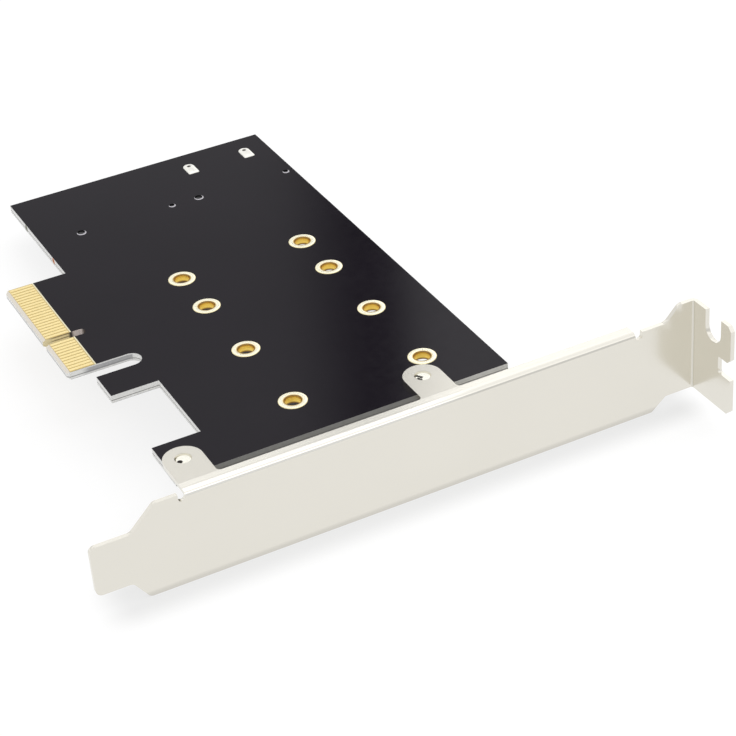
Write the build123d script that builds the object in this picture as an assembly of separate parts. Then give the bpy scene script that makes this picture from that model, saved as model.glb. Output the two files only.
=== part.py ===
from build123d import *
import os

# Plug-in adapter card that carries two flat storage modules, seen with its solder side up.
# Millimetres. The origin is on the centre line of the key notch, at the outer edge of the
# edge connector and halfway through the board. +X runs up the card from the gold fingers,
# +Y runs away from the mounting bracket, and +Z points out of the solder side.

# Board outline
board_thickness = 1.57
board_height = 68.9
far_edge_inset = 12.55
recess_inset = 13.4
foot_inset = 4.15
foot_span = 10.65
hook_width = 7.3

# Edge connector
finger_pitch = 1.0
finger_width = 0.70
finger_thickness = 0.05
finger_end = 5.3
finger_setback = 0.7
key_to_first_line = 1.5
near_fingers = 11
far_fingers = 21
tongue_margin = 0.65
tongue_corner = 0.5
key_width = 1.9
key_depth = 8.25
bevel_run = 0.65
bevel_depth = 0.35
hook_slot_width = 4.15
hook_slot_inset = 13.8

# Module columns: one for each storage module, with post holes at the standard lengths
column_to_top_edge = 11.8
column_spacing = 26.0
longest_module = 80.0
shorter_modules = [30.0, 42.0, 60.0]
last_post_to_front_edge = 10.45
peg_to_module_tip = 1.27
post_bore = 3.1
post_land = 5.3
land_thickness = 0.05

# Module sockets
mouth_width = 20.1
socket_end_wall = 0.9
mouth_depth = 5.5
socket_back_wall = 2.5
socket_roof = 0.8
mouth_height = 1.5
mouth_sill = 1.9
module_tip_gap = 0.3
key_rib_width = 1.1
key_rib_setback = 0.9
socket_edge_break = 0.25
spring_spacing = 0.25
middle_pin = 38
last_pin = 75
foot_width = 0.24
foot_thickness = 0.15
foot_reach = 0.75
peg_inset = 0.95
large_peg = 1.5
small_peg = 1.0
peg_clearance = 0.1
peg_length = 1.3
hold_down_width = 2.4
hold_down_height = 1.6
hold_down_foot = 0.55
hold_down_thickness = 0.2
hold_down_to_front = 4.0

# Data port at the far edge
socket_feet_to_port_feet = 4.85
port_mouth_width = 12.6
port_mouth_height = 4.6
port_mouth_depth = 6.8
port_side_wall = 1.9
port_back_wall = 2.2
port_floor = 0.9
port_roof = 0.9
port_overhang = 0.5
port_mouth_lead = 0.3
port_blade_width = 10.3
port_blade_thickness = 1.25
port_blade_length = 5.8
port_blade_rise = 1.9
port_key_width = 0.8
port_key_drop = 1.0
port_pins = 7
port_pin_pitch = 1.27
port_pin_width = 0.75
port_pin_thickness = 0.15
port_pin_clearance = 0.15
port_pin_setback = 0.6
port_foot = 1.0
lock_spread = 12.92
lock_to_far_edge = 5.75
lock_blade_width = 1.0
lock_blade_thickness = 0.4
lock_clearance = 0.1
lock_shoulder_width = 2.0
lock_shoulder_height = 0.6
lock_tip = 0.15
solder_width = 2.4
solder_length = 4.35
solder_height = 0.3
solder_slope = 0.2
solder_blade_offset = 1.025

# Bracket: one sheet, folded along its top edge and at its screw end
sheet = 0.86
key_to_bracket = 58.07
board_to_bracket = 4.77
fold_radius = 0.24
plate_width = 18.42
tongue_end = 14.3
tongue_width = 10.0
tongue_drop = 0.35
upper_taper_root = 6.8
upper_taper_end = 2.1
lower_taper_root = 7.7
lower_taper_end = 5.0
taper_radius = 1.2
tongue_end_radius = 1.2
flange_bend_radius = 0.4
screw_end = 105.72
flange_reach = 11.62
flange_width = 18.86
flange_rise = 2.95
flange_shoulder = 6.70
flange_shoulder_run = 2.85
shoulder_radius = 1.7
lower_step_start = 9.85
lower_step_run = 3.05
screw_slot_width = 4.8
screw_slot_line = 6.2
screw_slot_depth = 5.6
locating_notch_top = 7.8
locating_notch_width = 3.5
locating_notch_depth = 3.7
notch_corner = 0.45
prong_chamfer = 0.9
lip_end = 92.4
lip_width = 2.0
relief_width = 1.4
relief_depth = 1.5
tab_width = 7.2
tab_reach = 12.1
tab_root_radius = 0.8
edge_tab_line = 7.2
middle_tab_line = 53.6

# Screws from the component side into the threaded tabs
screw_diameter = 2.9
tab_thread = 3.0
screw_hole = 3.3
screw_tip_depth = 0.25
screw_head = 5.4
screw_head_height = 2.0
screw_head_rim = 1.0
screw_head_dome = 0.9
cross_width = 0.8
cross_span = 2.8
cross_depth = 1.1

# Small parts on the component side
regulator_length = 4.9
regulator_width = 3.9
regulator_height = 1.5
regulator_draft = 0.25
regulator_standoff = 0.1
regulator_to_inset_edge = 7.25
regulator_to_far_edge = 8.05
lead_count = 4
lead_pitch = 1.27
lead_width = 0.42
lead_thickness = 0.2
lead_reach = 1.05
lead_knee = 0.45
lead_rise = 0.75
inductor_size = 6.6
inductor_height = 3.0
inductor_corner = 1.3
inductor_rim = 0.3
inductor_pad_width = 3.0
inductor_pad_length = 2.0
inductor_pad_reach = 0.5
inductor_pad_thickness = 0.25
inductor_to_regulator = 8.8
bulk_length = 3.5
bulk_width = 2.8
bulk_height = 1.9
bulk_bevel = 0.2
bulk_to_inductor = 8.3
bulk_spacing = 5.4
terminal_length = 0.9
terminal_width = 2.2
terminal_reach = 0.15
terminal_thickness = 0.2
chip_length = 1.6
chip_width = 0.8
chip_end = 0.35
capacitor_height = 0.8
resistor_height = 0.5
led_height = 0.6
led_end_height = 0.35
led_to_front_edge = 3.7
finger_row_inset = 2.25
port_row_gap = 1.6
port_row_spacing = 3.0
finger_row_capacitors = [18.5, 21.5, 24.5, 44.0]
finger_row_resistors = [11.0, 14.0]
middle_row_capacitors = [19.0, 22.0, 25.0]
middle_row_resistors = [10.0, 13.0]

# Levels and lines that follow from the sizes above
solder_face = board_thickness / 2
component_face = -board_thickness / 2
tongue_near_end = key_to_first_line + (near_fingers - 1) * finger_pitch + tongue_margin
tongue_far_end = key_to_first_line + (far_fingers - 1) * finger_pitch + tongue_margin
hook_far_side = tongue_near_end + hook_slot_width
hook_near_side = hook_far_side + hook_width
key_to_front = key_to_bracket - board_to_bracket
foot_end = key_to_front - foot_span
sata_column = board_height - column_to_top_edge
nvme_column = sata_column - column_spacing
columns = [nvme_column, sata_column]
module_tip = last_post_to_front_edge - key_to_front + longest_module
socket_peg_line = module_tip - peg_to_module_tip
socket_width = mouth_width + 2 * socket_end_wall
socket_height = mouth_sill + mouth_height + socket_roof
socket_front = module_tip + module_tip_gap - mouth_depth
socket_rear = socket_front + mouth_depth + socket_back_wall
peg_spread = socket_width - 2 * peg_inset
port_line = sata_column
port_width = port_mouth_width + 2 * port_side_wall
port_height = port_floor + port_mouth_height + port_roof
port_rear = socket_rear + foot_reach + socket_feet_to_port_feet + port_foot
port_back = port_rear + port_back_wall
port_front = port_back + port_mouth_depth
key_to_far_edge = port_front - port_overhang
lock_line = key_to_far_edge - lock_to_far_edge
regulator_x = far_edge_inset + regulator_to_inset_edge
supply_line = key_to_far_edge - regulator_to_far_edge
inductor_x = regulator_x + inductor_to_regulator
bulk_x = inductor_x + bulk_to_inductor
finger_row = far_edge_inset + finger_row_inset
middle_row = (nvme_column + sata_column) / 2
port_row = bulk_x + bulk_length / 2 + port_row_gap
led_row = led_to_front_edge - key_to_front
bracket_inner = -key_to_bracket
bracket_outer = -key_to_bracket - sheet
lip_top = solder_face + sheet
plate_bottom = lip_top - plate_width
tab_lines = [edge_tab_line, middle_tab_line]
tab_screw_line = bracket_inner + tab_reach - tab_width / 2
lip_start = edge_tab_line - tab_width / 2
flange_top = lip_top + flange_rise
flange_edge = bracket_outer - flange_reach


def box(x_range, y_range, z_range):
    """A block between pairs of coordinates."""
    size = [abs(b - a) for a, b in (x_range, y_range, z_range)]
    middle = [(a + b) / 2 for a, b in (x_range, y_range, z_range)]
    return Pos(*middle) * Box(*size)


def rod(x, y, diameter, z_range):
    """A round bar along Z."""
    low, high = sorted(z_range)
    return Pos(x, y, (low + high) / 2) * Cylinder(diameter / 2, high - low)


def centred(middle, width):
    """The two coordinates of a width about its middle."""
    return (middle - width / 2, middle + width / 2)


def below(near, far):
    """Heights under the component side, given as distances from the board."""
    return (component_face - far, component_face - near)


def strip(path, width, thickness, x):
    """A bent metal strip whose path lies in the YZ plane, centred on x."""
    line = Polyline(*[(0, y, z) for y, z in path])
    pen = Plane(origin=line @ 0, z_dir=line % 0, x_dir=(1, 0, 0))
    section = pen * Rectangle(width, thickness)
    return Pos(x, 0, 0) * sweep(section, path=line, transition=Transition.RIGHT)


def group(solids):
    """Separate solids kept together in one file."""
    return Compound(children=[solid for part in solids for solid in part.solids()])


# Circuit board

def board_outline():
    corners = [
        (foot_inset, -key_to_front),
        (board_height, -key_to_front),
        (board_height, key_to_far_edge),
        (far_edge_inset, key_to_far_edge),
        (far_edge_inset, tongue_far_end),
        (0, tongue_far_end),
        (0, -tongue_near_end),
        (foot_inset, -tongue_near_end),
        (foot_inset, -hook_near_side),
        (recess_inset, -hook_near_side),
        (recess_inset, -foot_end),
        (foot_inset, -foot_end),
    ]
    blank = make_face(Polyline(*corners, close=True))
    tongue_ends = blank.vertices().filter_by(lambda v: v.X < foot_inset / 2)
    blank = chamfer(tongue_ends, tongue_corner)
    slot_round = hook_slot_width / 2
    slot = Pos(hook_slot_inset / 2 - slot_round / 2, -tongue_near_end - slot_round)
    blank -= slot * Rectangle(hook_slot_inset - slot_round, hook_slot_width)
    blank -= Pos(hook_slot_inset - slot_round, -tongue_near_end - slot_round) * Circle(slot_round)
    blank -= Pos((key_depth - key_width / 2) / 2, 0) * Rectangle(key_depth - key_width / 2, key_width)
    blank -= Pos(key_depth - key_width / 2, 0) * Circle(key_width / 2)
    return blank


def bevel_section():
    """Section of the board across its height, thinned at the finger edge."""
    nose = board_thickness / 2 - bevel_depth
    half = [
        (0, nose),
        (bevel_run, solder_face),
        (board_height, solder_face),
        (board_height, component_face),
        (bevel_run, component_face),
        (0, -nose),
    ]
    face = Plane.XZ * make_face(Polyline(*half, close=True))
    return extrude(face, amount=max(key_to_front, key_to_far_edge), both=True)


def circuit_board():
    board = extrude(board_outline(), amount=board_thickness / 2, both=True) & bevel_section()
    through = (component_face, solder_face)
    land_top = solder_face + land_thickness
    for column in columns:
        for length in [*shorter_modules, longest_module]:
            post_line = module_tip - length
            board += rod(column, post_line, post_land, (solder_face, land_top))
            board -= rod(column, post_line, post_bore, (component_face, land_top))
        for side, peg in ((-1, large_peg), (1, small_peg)):
            x = column + side * peg_spread / 2
            board -= rod(x, socket_peg_line, peg + peg_clearance, through)
    for line in tab_lines:
        board -= rod(line, tab_screw_line, screw_hole, through)
    for x in centred(port_line, lock_spread):
        board -= lock_slot(x, through)
    return board


def lock_slot(x, levels):
    """The way for one board lock of the data port."""
    return box(
        centred(x, lock_blade_thickness + 2 * lock_clearance),
        centred(lock_line, lock_blade_width + 2 * lock_clearance),
        levels,
    )


def edge_fingers(face, outward):
    """The gold contacts on one face of the edge connector."""
    lines = [-key_to_first_line - n * finger_pitch for n in range(near_fingers)]
    lines += [key_to_first_line + n * finger_pitch for n in range(far_fingers)]
    levels = sorted((face, face + outward * finger_thickness))
    return group([
        box((finger_setback, finger_end), centred(line, finger_width), levels) for line in lines
    ])


# Module sockets

def pin_offsets(missing):
    """Distances of the pins of a keyed socket from its middle."""
    pins = [pin for pin in range(1, last_pin + 1) if pin not in missing]
    return {pin: (pin - middle_pin) * spring_spacing for pin in pins}


def key_line(missing):
    return (sum(missing) / len(missing) - middle_pin) * spring_spacing


def socket_housing(column, missing):
    """Moulded body: a mouth across its front with a key rib, and two pegs into the board."""
    body = box(
        centred(column, socket_width), (socket_front, socket_rear), below(0, socket_height)
    )
    long_edges = body.edges().filter_by(Axis.X).group_by(Axis.Z)[0]
    body = chamfer(long_edges, socket_edge_break)
    mouth_levels = below(mouth_sill, mouth_sill + mouth_height)
    mouth_back = socket_front + mouth_depth
    body -= box(centred(column, mouth_width), (socket_front, mouth_back), mouth_levels)
    rib = column + key_line(missing)
    rib_reach = (socket_front + key_rib_setback, mouth_back)
    body += box(centred(rib, key_rib_width), rib_reach, mouth_levels)
    for side, peg in ((-1, large_peg), (1, small_peg)):
        x = column + side * peg_spread / 2
        body += rod(x, socket_peg_line, peg, (component_face, component_face + peg_length))
    return body


def socket_contacts(column, missing):
    """The soldered feet of both rows: odd pins behind the socket and even pins before it."""
    feet = []
    for pin, offset in pin_offsets(missing).items():
        if pin % 2:
            reach = (socket_rear, socket_rear + foot_reach)
        else:
            reach = (socket_front - foot_reach, socket_front)
        feet.append(box(centred(column + offset, foot_width), reach, below(0, foot_thickness)))
    return group(feet)


def socket_hold_downs(column):
    """A soldered metal angle against each end of a socket."""
    t = hold_down_thickness
    profile = Polyline(
        (0, component_face - hold_down_height),
        (0, component_face),
        (hold_down_foot, component_face),
        (hold_down_foot, component_face - t),
        (t, component_face - t),
        (t, component_face - hold_down_height),
        close=True,
    )
    angle = extrude(Plane.XZ * make_face(profile), amount=hold_down_width / 2, both=True)
    line = socket_front + hold_down_to_front
    right = Pos(column + socket_width / 2, line, 0) * angle
    left = Pos(column - socket_width / 2, line, 0) * mirror(angle, about=Plane.YZ)
    return group([left, right])


# Data port

def port_blade():
    """The tongue inside the port, with its L-shaped key at one end."""
    reach = (port_back, port_back + port_blade_length)
    low = port_floor + port_blade_rise
    x_low, x_high = centred(port_line, port_blade_width)
    blade = box((x_low, x_high), reach, below(low, low + port_blade_thickness))
    return blade + box((x_low, x_low + port_key_width), reach, below(low - port_key_drop, low))


def port_mouth_section(extra):
    middle = component_face - port_floor - port_mouth_height / 2
    return Pos(port_line, middle) * Rectangle(
        port_mouth_width + 2 * extra, port_mouth_height + 2 * extra
    )


def port_housing():
    """Moulded shell with a flared mouth, the blade and seats for the two board locks."""
    body = box(
        centred(port_line, port_width), (port_rear, port_front), below(0, port_height)
    )
    uprights = body.edges().filter_by(Axis.Y).group_by(Axis.Z)[0]
    body = chamfer(uprights, socket_edge_break)
    body -= box(
        centred(port_line, port_mouth_width), (port_back, port_front),
        below(port_floor, port_floor + port_mouth_height),
    )
    body -= loft([
        Plane.XZ.offset(-port_front) * port_mouth_section(port_mouth_lead),
        Plane.XZ.offset(-port_front + port_mouth_lead) * port_mouth_section(0),
    ])
    body += port_blade()
    pin_level = port_floor + port_blade_rise
    span = (port_pins - 1) * port_pin_pitch + port_pin_width + 2 * port_pin_clearance
    body -= box(
        centred(port_line, span), (port_rear, port_back),
        below(pin_level - port_pin_thickness - port_pin_clearance, pin_level),
    )
    for x in centred(port_line, lock_spread):
        body -= lock_shoulder(x)
    return body


def port_contacts():
    """Seven strips that run along the blade, through the back wall and down to the board."""
    half = port_pin_thickness / 2
    level = component_face - port_floor - port_blade_rise + half
    foot = component_face - half
    path = [
        (port_back + port_blade_length - port_pin_setback, level),
        (port_rear - half, level),
        (port_rear - half, foot),
        (port_rear - port_foot, foot),
    ]
    first = port_line - (port_pins - 1) / 2 * port_pin_pitch
    return group([
        strip(path, port_pin_width, port_pin_thickness, first + n * port_pin_pitch)
        for n in range(port_pins)
    ])


def lock_shoulder(x):
    """The wide root of a board lock, flush in the port's floor."""
    return box(
        centred(x, lock_blade_thickness), centred(lock_line, lock_shoulder_width),
        below(0, lock_shoulder_height),
    )


def port_board_lock(x):
    """A flat blade from the port's floor up through the board."""
    blade = box(
        centred(x, lock_blade_thickness), centred(lock_line, lock_blade_width),
        (component_face, solder_face + lock_tip),
    )
    return lock_shoulder(x) + blade


def port_lock_solder(x):
    """The solder round one board lock, rounded at its far end, with the blade's way left open."""
    half = solder_width / 2
    near = lock_line - solder_blade_offset - solder_length / 2
    far = near + solder_length
    pad = Pos(x, (near + far - half) / 2) * Rectangle(solder_width, solder_length - half)
    pad += Pos(x, far - half) * Circle(half)
    solder = Pos(0, 0, solder_face) * extrude(pad, amount=solder_height)
    solder = chamfer(solder.edges().group_by(Axis.Z)[-1], solder_slope)
    return solder - lock_slot(x, (solder_face, solder_face + solder_height))


# Small parts

def gull_lead(side):
    """One lead that leaves a chip's side and steps down to the board."""
    half = lead_thickness / 2
    edge = side * regulator_width / 2
    knee = edge + side * lead_knee
    path = [
        (edge, component_face - lead_rise),
        (knee, component_face - lead_rise),
        (knee, component_face - half),
        (edge + side * lead_reach, component_face - half),
    ]
    return strip(path, lead_width, lead_thickness, 0)


def regulator_package():
    base = component_face - regulator_standoff
    middle = component_face - lead_rise
    top = component_face - regulator_height
    wide = Rectangle(regulator_length, regulator_width)
    slim = Rectangle(regulator_length - 2 * regulator_draft, regulator_width - 2 * regulator_draft)
    lower = loft([Pos(0, 0, base) * slim, Pos(0, 0, middle) * wide])
    upper = loft([Pos(0, 0, middle) * wide, Pos(0, 0, top) * slim])
    return Pos(regulator_x, supply_line, 0) * (lower + upper)


def regulator_leads():
    first = regulator_x - (lead_count - 1) / 2 * lead_pitch
    return group([
        Pos(first + n * lead_pitch, supply_line, 0) * gull_lead(side)
        for side in (-1, 1) for n in range(lead_count)
    ])


def power_inductor():
    outline = chamfer(Rectangle(inductor_size, inductor_size).vertices(), inductor_corner)
    block = Pos(inductor_x, supply_line, component_face - inductor_height) * extrude(
        outline, amount=inductor_height - inductor_pad_thickness
    )
    return chamfer(block.edges().group_by(Axis.Z)[0], inductor_rim)


def inductor_pads():
    pads = []
    for side in (-1, 1):
        outer = inductor_x + side * (inductor_size / 2 + inductor_pad_reach)
        pads.append(box(
            (outer, outer - side * inductor_pad_length), centred(supply_line, inductor_pad_width),
            below(0, inductor_pad_thickness),
        ))
    return group(pads)


def bulk_capacitors():
    blocks = []
    for y in centred(supply_line, bulk_spacing):
        block = box(
            centred(bulk_x, bulk_length), centred(y, bulk_width),
            below(terminal_thickness, bulk_height),
        )
        blocks.append(chamfer(block.edges().group_by(Axis.Z)[0], bulk_bevel))
    return group(blocks)


def bulk_terminals():
    pads = []
    for y in centred(supply_line, bulk_spacing):
        for side in (-1, 1):
            outer = bulk_x + side * (bulk_length / 2 + terminal_reach)
            pads.append(box(
                (outer, outer - side * terminal_length), centred(y, terminal_width),
                below(0, terminal_thickness),
            ))
    return group(pads)


def chips(places, height):
    """Ceramic bodies of small two-ended parts, laid along Y."""
    return group([
        box(centred(x, chip_width), centred(y, chip_length - 2 * chip_end), below(0, height))
        for x, y in places
    ])


def chip_ends(places, height):
    """The soldered metal ends of those parts."""
    ends = []
    for x, y in places:
        for side in (-1, 1):
            outer = y + side * chip_length / 2
            across = centred(x, chip_width)
            ends.append(box(across, (outer, outer - side * chip_end), below(0, height)))
    return group(ends)


# Bracket

def plate_outline():
    """Front view of the bracket in X and Z, before the folds are added."""
    middle = (lip_top + plate_bottom) / 2 - tongue_drop
    tongue_top = middle + tongue_width / 2
    tongue_low = middle - tongue_width / 2
    rise_start = screw_end - flange_shoulder
    rise_end = rise_start + flange_shoulder_run
    flange_low = flange_top - flange_width
    low_step = screw_end - lower_step_start
    outline = Polyline(
        (-tongue_end, tongue_top),
        (-upper_taper_root, tongue_top),
        (-upper_taper_end, lip_top),
        (rise_start, lip_top),
        (rise_end, flange_top),
        (screw_end, flange_top),
        (screw_end, flange_low),
        (low_step + lower_step_run, flange_low),
        (low_step, plate_bottom),
        (-lower_taper_end, plate_bottom),
        (-lower_taper_root, tongue_low),
        (-tongue_end, tongue_low),
        close=True,
    )
    face = make_face(outline)
    tip = face.vertices().filter_by(lambda v: v.X < -tongue_end + 0.01)
    face = fillet(tip, tongue_end_radius)
    taper_ends = face.vertices().filter_by(
        lambda v: -lower_taper_root - 0.01 < v.X < -upper_taper_end + 0.01
    )
    face = fillet(taper_ends, taper_radius)
    shoulder_ends = face.vertices().filter_by(
        lambda v: rise_start - 0.01 < v.X < rise_end + 0.01 and v.Y > 0
    )
    return fillet(shoulder_ends, shoulder_radius)


def relief(start):
    """A round-bottomed cut beside the fold, in X and Z."""
    bottom = lip_top - relief_depth
    radius = relief_width / 2
    height = relief_depth - radius
    cut = Pos(start + radius, lip_top - height / 2) * Rectangle(relief_width, height)
    return cut + Pos(start + radius, bottom + radius) * Circle(radius)


def lip_outline():
    """Plan of the folded lip and its two tabs, in X and Y."""
    inner_edge = bracket_inner + lip_width
    face = Pos((lip_start + lip_end) / 2, (bracket_outer + inner_edge) / 2) * Rectangle(
        lip_end - lip_start, inner_edge - bracket_outer
    )
    radius = tab_width / 2
    for line in tab_lines:
        face += Pos(line, (inner_edge + tab_screw_line) / 2) * Rectangle(
            tab_width, tab_screw_line - inner_edge
        )
        face += Pos(line, tab_screw_line) * Circle(radius)
    roots = face.vertices().filter_by(
        lambda v: abs(v.Y - inner_edge) < 0.01 and lip_start + 0.01 < v.X < lip_end - 0.01
    )
    face = fillet(roots, tab_root_radius)
    for line in tab_lines:
        face -= Pos(line, tab_screw_line) * Circle(tab_thread / 2)
    return face


def flange_outline():
    """The screw flange in Y and Z, with its open slot, notch and trimmed corners."""
    low = flange_top - flange_width
    face = Pos((bracket_inner + flange_edge) / 2, (flange_top + low) / 2) * Rectangle(
        bracket_inner - flange_edge, flange_width
    )
    outer = face.vertices().filter_by(lambda v: v.X < flange_edge + 0.01)
    face = chamfer(outer, prong_chamfer)
    notch_middle = flange_top - locating_notch_top - locating_notch_width / 2
    notch = Rectangle(2 * locating_notch_depth, locating_notch_width)
    notch = fillet(notch.vertices(), notch_corner)
    face -= Pos(flange_edge, notch_middle) * notch
    prong = face.vertices().filter_by(
        lambda v: v.X < flange_edge + 0.01 and v.Y > notch_middle
    ).sort_by(Axis.Y)
    face = chamfer(prong[0], prong_chamfer)
    slot_line = bracket_outer - screw_slot_line
    radius = screw_slot_width / 2
    straight = screw_slot_depth - radius
    face -= Pos(slot_line, flange_top - straight / 2) * Rectangle(screw_slot_width, straight)
    face -= Pos(slot_line, flange_top - straight) * Circle(radius)
    return face


def bracket():
    """One bent sheet: each fold is swept at its true radius, then trimmed to its outlines."""
    middle = sheet / 2
    fold = FilletPolyline(
        (bracket_outer + middle, plate_bottom),
        (bracket_outer + middle, lip_top - middle),
        (bracket_inner + tab_reach, lip_top - middle),
        radius=fold_radius + middle,
    )
    folded = extrude(Plane.YZ * trace(fold, sheet), amount=lip_end - lip_start)
    folded = Pos(lip_start, 0, 0) * folded
    lip = extrude(lip_outline(), amount=lip_top - plate_bottom)
    folded &= Pos(0, 0, plate_bottom) * lip
    bend = FilletPolyline(
        (-tongue_end, bracket_outer + middle),
        (screw_end - middle, bracket_outer + middle),
        (screw_end - middle, flange_edge),
        radius=flange_bend_radius + middle,
    )
    height = flange_top - plate_bottom
    sheet_blank = Pos(0, 0, plate_bottom) * extrude(trace(bend, sheet), amount=height)
    front = Plane.XZ * plate_outline()
    sheet_blank &= extrude(front, amount=key_to_bracket + sheet + flange_reach)
    flange_start = screw_end - sheet - flange_bend_radius
    side_cut = Plane.YZ.offset(flange_start) * flange_outline()
    flange = sheet_blank & extrude(side_cut, amount=screw_end - flange_start)
    plate = sheet_blank & box(
        (-tongue_end, flange_start), (bracket_outer, bracket_inner), (plate_bottom, flange_top)
    )
    fold_height = fold_radius + sheet
    plate -= box(
        (lip_start, lip_end), (bracket_outer, bracket_inner), (lip_top - fold_height, lip_top)
    )
    folded -= box(
        (lip_start, lip_end), (bracket_outer, bracket_inner),
        (plate_bottom, lip_top - fold_height),
    )
    whole = plate + flange + folded
    for start in (lip_start - relief_width, lip_end):
        cut = Plane.XZ.offset(key_to_bracket) * relief(start)
        whole -= extrude(cut, amount=sheet)
    return whole


def bracket_screw(line):
    """Pan-head machine screw, its head under the board and its tip inside the tab."""
    head_floor = component_face - screw_head_height
    rim = component_face - screw_head_height + screw_head_rim
    radius = screw_head / 2
    profile = Polyline(
        (0, lip_top - screw_tip_depth),
        (screw_diameter / 2, lip_top - screw_tip_depth),
        (screw_diameter / 2, component_face),
        (radius, component_face),
        (radius, rim),
        (radius - screw_head_dome, head_floor),
        (0, head_floor),
        close=True,
    )
    screw = Pos(line, tab_screw_line, 0) * revolve(Plane.XZ * make_face(profile), axis=Axis.Z)
    deep = (head_floor, head_floor + cross_depth)
    screw -= box(centred(line, cross_span), centred(tab_screw_line, cross_width), deep)
    screw -= box(centred(line, cross_width), centred(tab_screw_line, cross_span), deep)
    return screw


# Every piece under its own name
nvme_key = range(59, 67)
sata_key = range(12, 20)
capacitor_places = [(finger_row, y) for y in finger_row_capacitors]
capacitor_places += [(middle_row, y) for y in middle_row_capacitors]
capacitor_places += [(port_row, y) for y in centred(supply_line, port_row_spacing)]
resistor_places = [(finger_row, y) for y in finger_row_resistors]
resistor_places += [(middle_row, y) for y in middle_row_resistors]
led_places = [(x, led_row) for x in centred(nvme_column, peg_spread / 2)]

pieces = {
    "circuit_board": circuit_board(),
    "edge_fingers_solder_side": edge_fingers(solder_face, 1),
    "edge_fingers_component_side": edge_fingers(component_face, -1),
    "bracket": bracket(),
    "bracket_screw_edge": bracket_screw(edge_tab_line),
    "bracket_screw_middle": bracket_screw(middle_tab_line),
    "data_port_housing": port_housing(),
    "data_port_contacts": port_contacts(),
    "regulator_package": regulator_package(),
    "regulator_leads": regulator_leads(),
    "power_inductor": power_inductor(),
    "power_inductor_pads": inductor_pads(),
    "bulk_capacitors": bulk_capacitors(),
    "bulk_capacitor_terminals": bulk_terminals(),
    "chip_capacitors": chips(capacitor_places, capacitor_height),
    "chip_capacitor_ends": chip_ends(capacitor_places, capacitor_height),
    "chip_resistors": chips(resistor_places, resistor_height),
    "chip_resistor_ends": chip_ends(resistor_places, resistor_height),
    "status_leds": chips(led_places, led_height),
    "status_led_ends": chip_ends(led_places, led_end_height),
}

for name, column, missing in (("nvme", nvme_column, nvme_key), ("sata", sata_column, sata_key)):
    pieces[name + "_socket_housing"] = socket_housing(column, missing)
    pieces[name + "_socket_contacts"] = socket_contacts(column, missing)
    pieces[name + "_socket_hold_downs"] = socket_hold_downs(column)

for name, x in zip(("inner", "outer"), centred(port_line, lock_spread)):
    pieces["data_port_lock_" + name] = port_board_lock(x)
    pieces["data_port_solder_" + name] = port_lock_solder(x)

os.makedirs("parts", exist_ok=True)
for name, piece in pieces.items():
    export_step(piece, f"parts/{name}.step")
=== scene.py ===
import bpy
import bmesh
import math
from mathutils import Euler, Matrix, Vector, noise

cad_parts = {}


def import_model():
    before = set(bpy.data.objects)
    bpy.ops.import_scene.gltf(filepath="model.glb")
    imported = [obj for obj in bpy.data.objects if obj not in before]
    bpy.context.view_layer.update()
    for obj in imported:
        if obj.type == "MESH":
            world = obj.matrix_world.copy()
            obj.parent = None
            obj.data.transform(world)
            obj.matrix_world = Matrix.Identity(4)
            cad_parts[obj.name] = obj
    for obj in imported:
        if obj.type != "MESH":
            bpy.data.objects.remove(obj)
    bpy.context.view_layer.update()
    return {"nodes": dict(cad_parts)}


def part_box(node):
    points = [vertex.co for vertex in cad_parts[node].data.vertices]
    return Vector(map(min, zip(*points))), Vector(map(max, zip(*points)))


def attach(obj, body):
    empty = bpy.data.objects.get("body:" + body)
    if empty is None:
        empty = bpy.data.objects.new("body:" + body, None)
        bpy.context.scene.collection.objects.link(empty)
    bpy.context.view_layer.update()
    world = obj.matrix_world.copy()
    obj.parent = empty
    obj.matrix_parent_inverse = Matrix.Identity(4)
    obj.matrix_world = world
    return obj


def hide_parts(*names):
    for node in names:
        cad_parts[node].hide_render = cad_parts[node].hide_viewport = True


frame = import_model()
nodes = frame["nodes"]
MM = 0.001

# Places that the frame gives, in millimetres

def corners(node):
    """Lowest and highest corner of a CAD node."""
    low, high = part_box(node)
    return low / MM, high / MM


def centre(node):
    low, high = corners(node)
    return (low + high) / 2


BRACKET_LOW, BRACKET_HIGH = corners("bracket")
PORT_LOW, PORT_HIGH = corners("data_port_housing")
FRONT_EDGE = corners("circuit_board")[0].y
TOP_EDGE = corners("circuit_board")[1].x
FINGERS_LOW = corners("edge_fingers_solder_side")[0]
SOLDER_FACE = FINGERS_LOW.z
SCREWS = (centre("bracket_screw_edge"), centre("bracket_screw_middle"))
SCREW_TIP = corners("bracket_screw_edge")[1].z
LOCKS = (centre("data_port_lock_inner"), centre("data_port_lock_outer"))
LOCK_LINES = [lock.x for lock in LOCKS]
LOCK_Y = LOCKS[0].y

# Places that no node's box gives, in millimetres

FAR_EDGE = 12.55
TONGUE_SIDE = FINGERS_LOW.y - 0.30
MASK_START = 5.75

# Round ends of the key notch and of the hook's slot, as X, Y and radius
KEY_NOTCH = (8.25 - 0.95, 0.0, 0.95)
HOOK_SLOT = (13.8 - 2.075, TONGUE_SIDE - 2.075, 2.075)

# Module columns: post holes at the standard lengths, and peg holes as offset from the column and radius
COLUMNS = (TOP_EDGE - 11.8 - 26.0, TOP_EDGE - 11.8)
MODULE_LENGTHS = (30.0, 42.0, 60.0, 80.0)
MODULE_TIP = FRONT_EDGE + 10.45 + MODULE_LENGTHS[-1]
POST_LINES = [MODULE_TIP - length for length in MODULE_LENGTHS]
POST_WALL = 1.53
PEG_Y = MODULE_TIP - 1.27
PEG_HOLES = ((-10.0, 0.8), (10.0, 0.55))

# How far the hollow in the solder lies from its lock
HOLLOW_SHIFT = 0.15

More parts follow.
